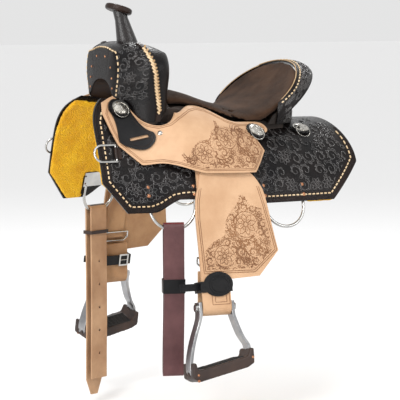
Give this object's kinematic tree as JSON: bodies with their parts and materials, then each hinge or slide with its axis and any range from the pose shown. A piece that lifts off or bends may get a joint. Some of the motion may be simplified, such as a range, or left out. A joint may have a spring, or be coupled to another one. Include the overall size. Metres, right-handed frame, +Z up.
{
  "type": "western saddle",
  "caption": "Western riding saddle with horn, high cantle, tooled skirts and fenders, bell stirrups, rigging dees, latigo and off billet; fenders, stirrups and straps swing.",
  "frame": {"origin": "centre plane, at the height where a rack's top rail carries the saddle", "axes": "+X near side (rider's left), +Y towards the cantle, +Z up"},
  "size_m": [0.6586, 0.65, 0.9416],
  "materials": {
    "dark_tooled_leather": "satin",
    "natural_leather": "matte",
    "rawhide_lace": "matte",
    "suede": "matte",
    "gold_felt": "matte",
    "tree_wood": "matte",
    "black_leather": "satin",
    "tread_rubber": "matte",
    "steel": "satin",
    "silver": "polished",
    "copper": "satin",
    "latigo_leather": "satin",
    "resin": "matte"
  },
  "bodies": {
    "saddle": {"cantle_back": "dark_tooled_leather", "cantle_roll": "dark_tooled_leather", "conchos": "silver", "ground_seat": "resin", "gullet_liner": "dark_tooled_leather", "horn_cap": "dark_tooled_leather", "horn_neck_wrap": "dark_tooled_leather", "horn_post": "steel", "jockey_screws": "silver", "near_dee_keeper": "natural_leather", "near_jockey": "natural_leather", "near_latigo_holder": "black_leather", "near_rigging_dees": "steel", "near_rigging_rivets": "copper", "near_skirt": "dark_tooled_leather", "near_skirt_lining": "gold_felt", "near_swell_lacing": "rawhide_lace", "near_tree_bar": "tree_wood", "off_dee_keeper": "natural_leather", "off_jockey": "natural_leather", "off_latigo_holder": "black_leather", "off_rigging_dees": "steel", "off_rigging_rivets": "copper", "off_skirt": "dark_tooled_leather", "off_skirt_lining": "gold_felt", "off_swell_lacing": "rawhide_lace", "off_tree_bar": "tree_wood", "rosettes": "black_leather", "seat_pad": "suede", "swell_cover": "dark_tooled_leather", "tree_cantle": "tree_wood", "tree_fork": "tree_wood"},
    "near_leathers": {"near_leather_top": "natural_leather"},
    "near_fender_leather": {"near_fender": "natural_leather", "near_stirrup_leather": "natural_leather", "near_leather_buckle": "steel", "near_hobble_strap": "black_leather", "near_hobble_buckle": "steel", "near_stirrup_roller": "resin"},
    "near_stirrup": {"near_stirrup_frame": "steel", "near_stirrup_tread": "tread_rubber", "near_stirrup_bolt": "steel"},
    "near_breast_ring": {"near_breast_dee": "steel"},
    "off_leathers": {"off_leather_top": "natural_leather"},
    "off_fender_leather": {"off_fender": "natural_leather", "off_stirrup_leather": "natural_leather", "off_leather_buckle": "steel", "off_hobble_strap": "black_leather", "off_hobble_buckle": "steel", "off_stirrup_roller": "resin"},
    "off_stirrup": {"off_stirrup_frame": "steel", "off_stirrup_tread": "tread_rubber", "off_stirrup_bolt": "steel"},
    "off_breast_ring": {"off_breast_dee": "steel"},
    "latigo_strap": {"latigo": "latigo_leather"},
    "latigo_loop": {"latigo_keeper": "black_leather"},
    "billet": {"off_billet": "natural_leather", "billet_tie": "rawhide_lace"}
  },
  "joints": [
    {"name": "near_fender_swing", "type": "hinge", "parent": "saddle", "child": "near_leathers", "pos_m": [0.19716, -0.05144, 0.01997], "axis": [0.9709, -0.1192, 0.2079], "range_deg": [-8, 6]},
    {"name": "near_fender_lift", "type": "hinge", "parent": "near_leathers", "child": "near_fender_leather", "pos_m": [0.23199, -0.02141, -0.10141], "axis": [-0.1219, -0.9925, 0], "range_deg": [0, 60]},
    {"name": "near_stirrup_pivot", "type": "hinge", "parent": "near_fender_leather", "child": "near_stirrup", "pos_m": [0.26318, -0.06554, -0.36036], "axis": [-0.1219, -0.9925, 0], "range_deg": [0, 45]},
    {"name": "near_breast_dee_hinge", "type": "hinge", "parent": "saddle", "child": "near_breast_ring", "pos_m": [0.14025, -0.24349, -0.02538], "axis": [-0.3816, 0.0492, 0.923], "range_deg": [0, 90]},
    {"name": "off_fender_swing", "type": "hinge", "parent": "saddle", "child": "off_leathers", "pos_m": [-0.19716, -0.05144, 0.01997], "axis": [0.9709, 0.1192, -0.2079], "range_deg": [-8, 6]},
    {"name": "off_fender_lift", "type": "hinge", "parent": "off_leathers", "child": "off_fender_leather", "pos_m": [-0.23199, -0.02141, -0.10141], "axis": [-0.1219, 0.9925, 0], "range_deg": [0, 60]},
    {"name": "off_stirrup_pivot", "type": "hinge", "parent": "off_fender_leather", "child": "off_stirrup", "pos_m": [-0.26318, -0.06554, -0.36036], "axis": [-0.1219, 0.9925, 0], "range_deg": [0, 45]},
    {"name": "off_breast_dee_hinge", "type": "hinge", "parent": "saddle", "child": "off_breast_ring", "pos_m": [-0.14025, -0.24349, -0.02538], "axis": [-0.3816, -0.0492, -0.923], "range_deg": [0, 90]},
    {"name": "latigo_swing", "type": "hinge", "parent": "saddle", "child": "latigo_strap", "pos_m": [0.20304, -0.13553, -0.1894], "axis": [-0.3366, -0.9416, 0], "range_deg": [-20, 1]},
    {"name": "latigo_keeper_slide", "type": "slide", "parent": "latigo_strap", "child": "latigo_loop", "axis": [0, 0, -1], "range_m": [0, 0.06]},
    {"name": "billet_swing", "type": "hinge", "parent": "saddle", "child": "billet", "pos_m": [-0.20304, -0.13553, -0.1894], "axis": [-0.3366, 0.9416, 0], "range_deg": [-17, 1]}
  ]
}
